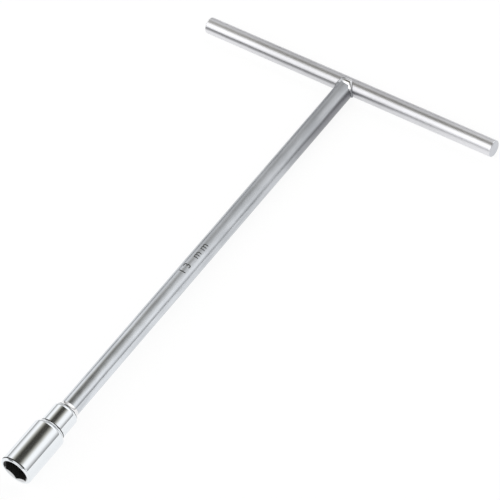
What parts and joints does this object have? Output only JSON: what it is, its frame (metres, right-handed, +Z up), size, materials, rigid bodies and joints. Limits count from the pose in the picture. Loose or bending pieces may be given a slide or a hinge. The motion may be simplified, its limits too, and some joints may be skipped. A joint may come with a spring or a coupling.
{
  "type": "t-handle socket wrench",
  "caption": "Chrome-plated T-handle wrench: a round cross bar welded across a round shaft that ends in a stepped, forged hexagon socket.",
  "frame": {"origin": "on the surface that the wrench lies on, below the drive axis, halfway between the socket's mouth and the far side of the cross bar", "axes": "+X along the cross bar; +Y along the drive axis from the socket's mouth towards the cross bar; +Z up"},
  "size_m": [0.195, 0.315, 0.019],
  "materials": {
    "bar_chrome": "bright chrome plate over a drawn steel rod, faint haze and fine marks",
    "shaft_chrome": "satin chrome plate, cloudy along the rod",
    "socket_chrome": "mirror-bright chrome plate over a turned forging",
    "weld_chrome": "chrome plate over a dressed weld bead, slightly uneven"
  },
  "bodies": {
    "root": {"cross_bar": "bar_chrome", "shaft": "shaft_chrome", "socket": "socket_chrome", "handle_weld": "weld_chrome", "socket_weld": "weld_chrome"}
  },
  "joints": []
}
